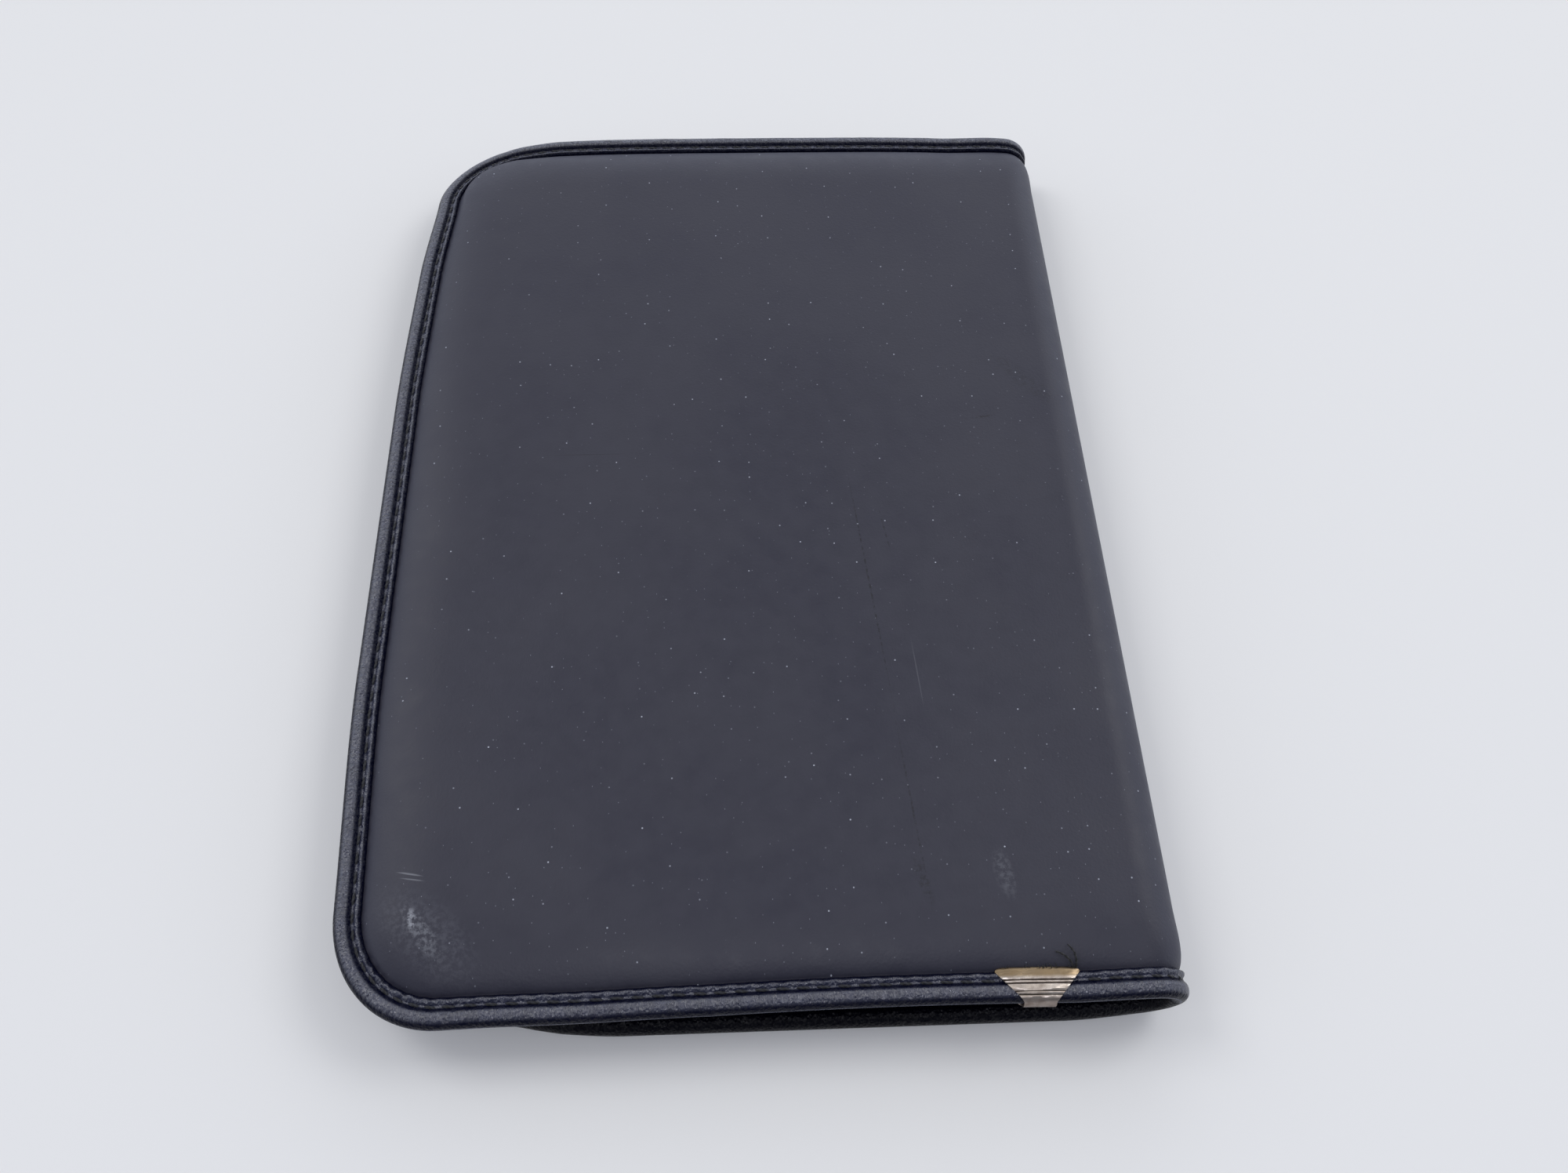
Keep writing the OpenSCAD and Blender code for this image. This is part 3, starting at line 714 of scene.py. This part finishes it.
def nappa(name, worn):
    """Smooth matte nappa, dyed charcoal navy: a fine pore, faint clouding, and on the worn face lint and scuffs."""
    made, tree, shader = material(name, Specular_IOR_Level=0.42, Sheen_Weight=0.06, Sheen_Roughness=0.5,
                                  Sheen_Tint=colour("#8f98bc"))
    where = pattern(tree)
    cloud = noise(tree, where, 38, 4.0, 0.6)
    mottle = noise(tree, where, 5, 4.0, 0.6)
    tone = mixed(tree, ramp(tree, cloud, 0.35, 0.65), "#272735", "#2d2d39")
    tone = mixed(tree, ramp(tree, mottle, 0.3, 0.75, 0.0, 0.35), tone, "#343440")
    pore = cells(tree, where, 0.55)["Distance"]
    grain = noise(tree, where, 0.9, 5.0, 0.6)
    height = math_node(tree, "ADD", math_node(tree, "MULTIPLY", pore, 0.5), grain)
    roughness = ramp(tree, mottle, 0.2, 0.8, 0.46, 0.58)
    if worn:
        lint_cell = cells(tree, where, 6.0, voronoi_dimensions="2D")
        fleck = ramp(tree, lint_cell["Distance"], 0.012, 0.038, 1.0, 0.0)
        chance = node(tree, "ShaderNodeSeparateColor", None, Color=lint_cell["Color"])
        keep = math_node(tree, "GREATER_THAN", chance.outputs["Red"], 0.66)
        faint = ramp(tree, chance.outputs["Green"], 0.2, 1.0, 0.2, 0.9)
        lint = math_node(tree, "MULTIPLY", math_node(tree, "MULTIPLY", fleck, keep), faint)
        tone = mixed(tree, lint, tone, "#aeb3c0")
        dust_cell = cells(tree, pattern(tree, (1.3, 0.8, 1)), 2.3, voronoi_dimensions="2D")
        speck = ramp(tree, dust_cell["Distance"], 0.015, 0.06, 1.0, 0.0)
        share = node(tree, "ShaderNodeSeparateColor", None, Color=dust_cell["Color"])
        speck = math_node(tree, "MULTIPLY", speck, ramp(tree, share.outputs["Red"], 0.72, 1.0, 0.0, 0.42))
        tone = mixed(tree, speck, tone, "#a6abb8")
        patchy = ramp(tree, noise(tree, where, 1.1, 5.0, 0.7), 0.42, 0.62)
        for x, y, length, width, turn, strength, tint in (
            (-63.5, -101.5, 30, 15, -40, 0.14, "#7a7d88"), (-64.5, -101.0, 15, 5, -52, 0.3, "#8d9098"),
            (-66.5, -98.5, 5, 2.4, -80, 0.6, "#9a9da6"), (-67.5, -90.0, 6.4, 0.5, -12, 0.42, "#8d9098"),
            (-66.9, -91.1, 6.0, 0.4, -10, 0.35, "#8d9098"),
            (48.0, -94.0, 13, 5, 100, 0.22, "#7d8088"), (26.4, -27.3, 76, 0.6, 95.5, 0.8, "#0b0c12"),
            (31.2, -80.0, 52, 0.6, 95.4, 0.6, "#0b0c12"), (30.9, -13.5, 15, 0.6, 98.8, 0.7, "#0b0c12"),
            (35.0, -50.0, 20, 0.35, 94.5, 0.13, "#8d9098"), (32.0, -95.0, 13, 3, 105, 0.5, "#0d0e14"),
            (56.7, 18.1, 9, 0.9, 9, 0.7, "#08090d"), (69, 29, 27, 6, -50, 0.3, "#0d0e14"),
            (-37, 9, 22, 0.35, 0, 0.35, "#0b0c12"),
        ):
            broken = patchy if width > 0.55 else 1.0
            spot = math_node(tree, "MULTIPLY", mark(tree, where, x, y, length, width, turn), broken)
            tone = mixed(tree, math_node(tree, "MULTIPLY", spot, strength), tone, tint)
    tree.links.new(tone, shader.inputs["Base Color"])
    tree.links.new(roughness, shader.inputs["Roughness"])
    bumped(tree, shader, height, 0.035)
    return made


def grained(name, base, light, edge=None):
    """Fine goat-grained binding leather, turned over the edge: creased across the roll. The roll's top and the lip
    are painted paler, a painted highlight, and made glossier; the flank keeps the dark base colour, but for a
    painted reflection, a pale line along its middle. Y of the pattern runs round the section, from that line.
    Without an edge tone it is plain panel leather."""
    made, tree, shader = material(name, Specular_IOR_Level=0.55)
    where = pattern(tree)
    stretched = pattern(tree, (1 / 0.75, 1 / 2.2, 1))
    crease = noise(tree, stretched, 1.0, 4.0, 0.55)
    grain = cells(tree, where, 0.6)["Distance"]
    patchy = ramp(tree, noise(tree, stretched, 3, 4.0, 0.6), 0.3, 0.7, 0.55, 1.0)
    if edge:
        around = node(tree, "ShaderNodeSeparateXYZ", None, Vector=where).outputs["Y"]
        # Painted highlight: the roll's top and the lip are painted paler, in the light tone, and given a higher
        # specular level.
        roll_highlight, lip_highlight = (
            math_node(tree, "MULTIPLY", ramp(tree, around, a, b), ramp(tree, around, c, d, 1.0, 0.0))
            for a, b, c, d in ((1.5, 2.7, 3.6, 4.6), (5.0, 5.6, 6.4, 7.0))
        )
        painted_highlight = math_node(tree, "MAXIMUM", roll_highlight, lip_highlight)
        tone = mixed(tree, math_node(tree, "MULTIPLY", painted_highlight, patchy), base, light)
        # Painted reflection: a pale line in the edge tone along the middle of the flank.
        tone = mixed(tree, ramp(tree, around, 0.15, 0.5, 0.55, 0.0), tone, edge)
        tree.links.new(ramp(tree, painted_highlight, 0.0, 1.0, 0.1, 1.0), shader.inputs["Specular IOR Level"])
    else:
        tone = mixed(tree, patchy, base, light)
    tree.links.new(tone, shader.inputs["Base Color"])
    tree.links.new(ramp(tree, crease, 0.3, 0.7, 0.20, 0.36), shader.inputs["Roughness"])
    height = math_node(tree, "ADD", crease, math_node(tree, "MULTIPLY", grain, 0.4))
    bumped(tree, shader, height, 0.4 if edge else 0.12)
    return made


def spun(name, base, light):
    """Twisted polyester thread: slanting strands, with a dull shine."""
    made, tree, shader = material(name, Roughness=0.6, Specular_IOR_Level=0.4, Sheen_Weight=0.2)
    where = pattern(tree)
    ply = yarns(tree, where, 0.5, 0.4, "DIAGONAL")
    tree.links.new(mixed(tree, ply, base, light), shader.inputs["Base Color"])
    bumped(tree, shader, ply, 0.08)
    return made


def woven(name, base, light):
    """Brushed lining cloth: a plain weave under a soft nap."""
    made, tree, shader = material(name, Roughness=0.9, Specular_IOR_Level=0.2, Sheen_Weight=0.35,
                                  Sheen_Roughness=0.6)
    where = pattern(tree)
    weave = math_node(tree, "ADD", yarns(tree, where, 0.35, 0.6, "X"), yarns(tree, where, 0.35, 0.6, "Y"))
    nap = noise(tree, where, 1.6, 5.0, 0.7)
    tone = mixed(tree, ramp(tree, nap, 0.3, 0.7), base, light)
    tree.links.new(tone, shader.inputs["Base Color"])
    bumped(tree, shader, math_node(tree, "ADD", weave, nap), 0.05)
    return made


def ribbed(name):
    """Elastic webbing: dark yarn over rubber, rubbed paler on its ribs."""
    made, tree, shader = material(name, Roughness=0.75, Specular_IOR_Level=0.3, Sheen_Weight=0.3)
    where = pattern(tree)
    yarn = yarns(tree, where, 0.7, 0.5, "X")
    tree.links.new(mixed(tree, yarn, "#0c0c0f", "#1f1f24"), shader.inputs["Base Color"])
    bumped(tree, shader, yarn, 0.06)
    return made


def plated(name):
    """Stamped steel with a tarnished antique plating: brown in the grooves and brassy at the jaws' ends. Y of the
    pattern is the distance from the fold."""
    made, tree, shader = material(name, Metallic=1.0)
    where = pattern(tree, source="Object")
    blotch = noise(tree, where, 2.4, 5.0, 0.65)
    reach = node(tree, "ShaderNodeSeparateXYZ", None, Vector=pattern(tree)).outputs["Y"]
    tone = mixed(tree, ramp(tree, blotch, 0.25, 0.75), "#a3968b", "#ddd2c8")
    tone = mixed(tree, ramp(tree, reach, 4.1, 4.9, 0.0, 0.85), tone, "#8a7452")
    tone = mixed(tree, ramp(tree, reach, 0.0, 1.0, 0.6, 0.0), tone, "#6d5d57")
    for groove_at in clip_grooves:
        off = math_node(tree, "ABSOLUTE", math_node(tree, "SUBTRACT", reach, groove_at))
        tone = mixed(tree, ramp(tree, off, 0.05, 0.17, 0.85, 0.0), tone, "#2a221d")
    scratch = noise(tree, pattern(tree, (0.25, 2.0, 2.0), "Object"), 0.5, 3.0)
    tree.links.new(tone, shader.inputs["Base Color"])
    tree.links.new(ramp(tree, blotch, 0.3, 0.7, 0.5, 0.3), shader.inputs["Roughness"])
    bumped(tree, shader, math_node(tree, "ADD", scratch, blotch), 0.05)
    return made


def plain_core(name, dark, light, size):
    """An inside layer that is normally covered: foam cells or paper fibre of the given size."""
    made, tree, shader = material(name, Roughness=0.9, Specular_IOR_Level=0.2)
    fleck = noise(tree, pattern(tree, source="Object"), size, 4.0, 0.6)
    tree.links.new(mixed(tree, ramp(tree, fleck, 0.3, 0.7), dark, light), shader.inputs["Base Color"])
    bumped(tree, shader, fleck, 0.1)
    return made


finishes = {
    "outer_leather": nappa("charcoal_nappa_leather", True),
    "back_leather": nappa("charcoal_nappa_leather_plain", False),
    # The front binding's light tone is a painted highlight on the roll's top and lip, and its last tone, #6a6d80,
    # is a painted reflection line along the flank.
    "binding_leather": grained("navy_goat_leather", "#05071b", "#272a41", "#6a6d80"),
    # Painted shade: the back's binding is the same leather in much darker tones, so the strip under the front cover
    # reads as in shadow.
    "back_binding": grained("navy_goat_leather_painted_shade", "#02020a", "#0a0b1c", "#0e0f1c"),
    "pocket_leather": grained("thin_pocket_leather", "#15161c", "#1d1e26"),
    "lining_cloth": woven("brushed_grey_green_lining", "#383b35", "#50534b"),
    "foam": plain_core("closed_cell_foam", "#a9a79d", "#c4c2b8", 0.6),
    "board": plain_core("grey_paperboard", "#7a6e5d", "#94876f", 1.5),
    "sewing_thread": spun("twisted_polyester_thread", "#07080c", "#1b1d26"),
    "elastic": ribbed("ribbed_elastic_webbing"),
    "clip_metal": plated("antique_plated_steel"),
}


def finish(piece, slot, made=None):
    """Gives a piece the material listed under made, or else under slot."""
    piece.data.materials.clear()
    piece.data.materials.append(finishes[made or slot])


# ---- the object ----

for side in ("back", "front"):
    extra = {"back": ["spine_leather"], "front": []}[side]
    leather = fold_with(cover_leather(side), side)
    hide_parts(f"{side}_leather", *extra)
    finish(leather, "outer_leather", "outer_leather" if side == "front" else "back_leather")

    bound = fold_with(binding(side), side)
    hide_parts(f"{side}_binding", *{"back": ["spine_binding_bottom"], "front": ["spine_binding_top"]}[side])
    # The back's binding takes the darker copy of the leather: painted shade for the strip in the front cover's
    # shadow.
    finish(bound, "binding_leather", "binding_leather" if side == "front" else "back_binding")

    sewn = fold_with(stitch_row(side), side)
    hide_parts(f"{side}_stitching", *{"back": ["spine_stitching"], "front": []}[side])
    finish(sewn, "sewing_thread")

    lining = fold_with(cover_lining(side), side)
    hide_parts(f"{side}_lining", *{"back": ["spine_lining"], "front": []}[side])
    finish(lining, "lining_cloth")

    foam = fold_with(spine_padding(side), side)
    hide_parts(*{"back": ["spine_foam"], "front": []}[side])
    finish(foam, "foam")

# name, cover, from and to across (from the free edge) and along, side of the mouth, and the nodes it stands for
for name, side, x0, x1, y0, y1, mouth, nodes in (
    ("sleeve_panel", "back", pocket_edge, 63.5, -108, 108, "x", ("pad_sleeve", "pad_sleeve_welt")),
    ("document_panel", "front", pocket_edge, 141.5, -108, 4, "y", ("document_pocket", "document_pocket_welt")),
    ("outer_card_panel", "front", 9.5, 71.5, 14, 82, "y", ("card_pocket_outer", "card_pocket_welts")),
    ("inner_card_panel", "front", 77.5, 139.5, 14, 82, "y", ("card_pocket_inner",)),
):
    finish(pocket(name, side, left + x0, left + x1, y0, y1, mouth, nodes), "pocket_leather")

finish(clip_sheet(), "clip_metal")
for piece in loose_ends():
    finish(piece, "sewing_thread")
finish(pen_loop(), "elastic")

for side in ("back", "front"):
    for slot in ("foam", "board"):
        for held in frame["nodes"][f"{side}_{slot}"].material_slots:
            held.material = finishes[slot]

# ---- floor, light and camera ----

floor_mesh = bpy.data.meshes.new("studio_floor")
wide = 20
floor_mesh.from_pydata([(-wide, -wide, 0), (wide, -wide, 0), (wide, wide, 0), (-wide, wide, 0)], [], [(0, 1, 2, 3)])
floor = bpy.data.objects.new("studio_floor", floor_mesh)
bpy.context.scene.collection.objects.link(floor)
paper, _, _ = material("matt_white_paper", Base_Color=(0.8, 0.8, 0.8, 1), Roughness=0.95, Specular_IOR_Level=0.1)
floor_mesh.materials.append(paper)

world = bpy.data.worlds.new("studio")
world.use_nodes = True
sky = world.node_tree
direction = node(sky, "ShaderNodeTexCoord").outputs["Generated"]
toward = node(sky, "ShaderNodeSeparateXYZ", None, Vector=direction)
by_height = ramp(sky, toward.outputs["Z"], 0.2, 0.75, 1.5, 0.40)
by_side = ramp(sky, toward.outputs["Y"], -0.85, -0.1, 0.2, 1.0)
sky_colour = mixed(sky, ramp(sky, toward.outputs["Z"], 0.2, 0.75), "#e6eeff", "#fbfcff")
shown = sky.nodes["Background"].inputs
sky.links.new(math_node(sky, "MULTIPLY", by_height, by_side), shown["Strength"])
sky.links.new(sky_colour, shown["Color"])
bpy.context.scene.world = world


def placed(columns):
    """The matrix with these four columns: three axes and a place."""
    return Matrix(np.vstack([np.stack([np.array(c, float) for c in columns], 1), [0, 0, 0, 1]]).tolist())


def soft_light(name, place_at, aim, size, watts, tint="#ffffff"):
    """A square area light at a place in metres, turned to aim."""
    data = bpy.data.lights.new(name, "AREA")
    data.size, data.energy, data.color = size, watts, colour(tint)[:3]
    lamp = bpy.data.objects.new(name, data)
    z = np.array(place_at, float) - np.array(aim, float)
    z /= np.linalg.norm(z)
    x = np.cross([0, 1, 0], z)
    x /= np.linalg.norm(x)
    lamp.matrix_world = placed([x, np.cross(z, x), z, place_at])
    bpy.context.scene.collection.objects.link(lamp)


soft_light("window", (0.15, 1.15, 0.75), (0, 0, 0), 0.9, 1.1)
soft_light("front_panel", (0.0, -0.45, 0.95), (0, 0, 0), 0.22, 2.1, "#f1f3ff")
soft_light("left_panel", (-0.85, 0.45, 1.05), (0, 0, 0), 0.6, 4.2)
soft_light("right_panel", (0.9, 0.4, 1.05), (0, 0, 0), 0.6, 4.6)

elevation, azimuth, roll = math.radians(59.82), math.radians(-6.14), math.radians(4.38)
level = math.cos(elevation)
back_axis = np.array([math.sin(azimuth) * level, -math.cos(azimuth) * level, math.sin(elevation)])
right_axis = np.array([math.cos(azimuth), math.sin(azimuth), 0])
up_axis = np.cross(back_axis, right_axis)
lens = bpy.data.cameras.new("camera")
lens.sensor_width, lens.lens, lens.clip_start = 36, 28.8, 0.01
camera = bpy.data.objects.new("camera", lens)
camera.matrix_world = placed([
    right_axis * math.cos(roll) + up_axis * math.sin(roll),
    up_axis * math.cos(roll) - right_axis * math.sin(roll),
    back_axis,
    (-0.00748, -0.16639, 0.25663),
])
bpy.context.scene.collection.objects.link(camera)
bpy.context.scene.camera = camera
bpy.context.scene.view_settings.view_transform = "Standard"

bpy.context.view_layer.update()
